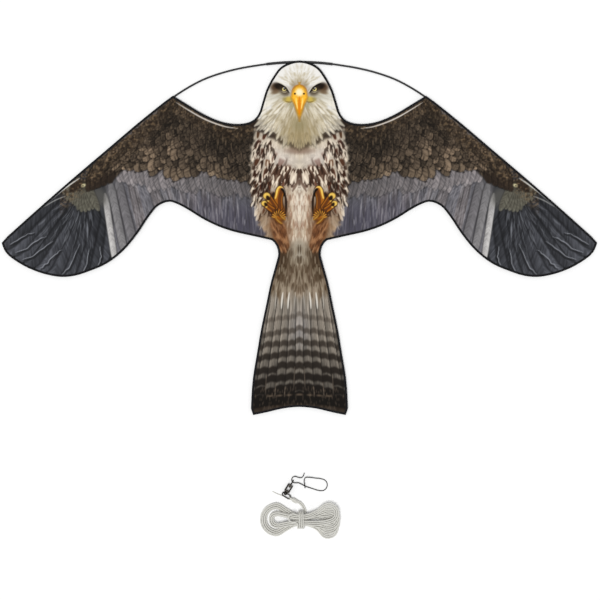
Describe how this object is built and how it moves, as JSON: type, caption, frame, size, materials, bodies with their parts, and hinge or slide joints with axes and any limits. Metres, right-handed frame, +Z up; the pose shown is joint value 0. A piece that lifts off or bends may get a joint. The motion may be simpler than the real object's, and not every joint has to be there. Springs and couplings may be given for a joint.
{
  "type": "bird scarer kite",
  "caption": "Flat bird-of-prey kite with a bowed spar, spine and taped printed sail, towing eyelet, hanked line and snap swivel; hung up to scare birds off crops.",
  "frame": {"origin": "centre of the kite's footprint on the surface it lies on", "axes": "+X along the span to the kite's right in the picture, +Y from tail to head, +Z up, on the printed side"},
  "size_m": [1.1, 0.884, 0.02],
  "materials": {
    "printed_sail": "printed polyester, matte with a faint sheen",
    "edge_tape": "woven black tape",
    "fibreglass_rod": "black pultruded fibreglass, satin",
    "black_plastic": "moulded, satin",
    "webbing": "woven webbing",
    "eyelet_metal": "pressed, nickel-plated",
    "white_line": "braided polyester",
    "black_nickel": "black nickel plate"
  },
  "bodies": {
    "body": {"sail_body": "printed_sail", "head_binding": "edge_tape", "tail_binding": "edge_tape", "spar_ferrule": "black_plastic", "left_rod_butt": "fibreglass_rod", "right_rod_butt": "fibreglass_rod", "head_tab": "edge_tape", "spine_rod": "fibreglass_rod", "spine_head_cap": "black_plastic", "spine_tail_cap": "black_plastic", "spine_head_pocket": "edge_tape", "spine_tail_pocket": "edge_tape", "spine_loops": "edge_tape"},
    "tow": {"tow_tab": "webbing", "tow_eyelet": "eyelet_metal"},
    "left_wing": {"left_wing_sail": "printed_sail", "left_wing_binding": "edge_tape", "left_spar_rod": "fibreglass_rod", "left_spar_sleeve": "edge_tape", "left_spar_cap": "black_plastic", "left_tip_pocket": "edge_tape"},
    "right_wing": {"right_wing_sail": "printed_sail", "right_wing_binding": "edge_tape", "right_spar_rod": "fibreglass_rod", "right_spar_sleeve": "edge_tape", "right_spar_cap": "black_plastic", "right_tip_pocket": "edge_tape"},
    "line_set": {"line_hank": "white_line", "line_wrap": "white_line", "line_lead": "white_line", "line_knot": "white_line", "line_ring": "black_nickel"},
    "swivel": {"swivel_frame": "black_nickel"},
    "eye": {"swivel_eye": "black_nickel"},
    "snap": {"snap_wire": "black_nickel"},
    "gate": {"snap_lock": "black_nickel"}
  },
  "joints": [
    {"name": "left_wing_flap", "type": "hinge", "parent": "body", "child": "left_wing", "pos_m": [-0.08, 0, 0.0066], "axis": [0, 1, 0], "range_deg": [0, 70], "stiffness_Nm_per_rad": 0.8},
    {"name": "right_wing_flap", "type": "hinge", "parent": "body", "child": "right_wing", "pos_m": [0.08, 0, 0.0066], "axis": [0, -1, 0], "range_deg": [0, 70], "stiffness_Nm_per_rad": 0.8},
    {"name": "tow_tab_swing", "type": "hinge", "parent": "body", "child": "tow", "pos_m": [0, 0.3, 0.0045], "axis": [-1, 0, 0], "range_deg": [0, 80]},
    {"name": "line_lift", "type": "slide", "parent": "body", "child": "line_set", "axis": [0, 0, 1], "range_m": [0, 0.2]},
    {"name": "link_swing", "type": "hinge", "parent": "line_set", "child": "swivel", "pos_m": [-0.02518, -0.47169, 0.004], "axis": [0.8554, -0.518, 0], "range_deg": [0, 75]},
    {"name": "eye_spin", "type": "hinge", "parent": "swivel", "child": "eye", "pos_m": [-0.02518, -0.47169, 0.004], "axis": [0.518, 0.8554, 0], "continuous": true},
    {"name": "snap_swing", "type": "hinge", "parent": "eye", "child": "snap", "pos_m": [-0.01275, -0.45116, 0.004], "axis": [0.6744, -0.7372, -0.0401], "range_deg": [0, 90]},
    {"name": "snap_gate", "type": "hinge", "parent": "snap", "child": "gate", "pos_m": [0.05137, -0.45926, 0.0008], "axis": [0.0486, -0.0099, 0.9988], "range_deg": [0, 18], "stiffness_Nm_per_rad": 0.02}
  ]
}
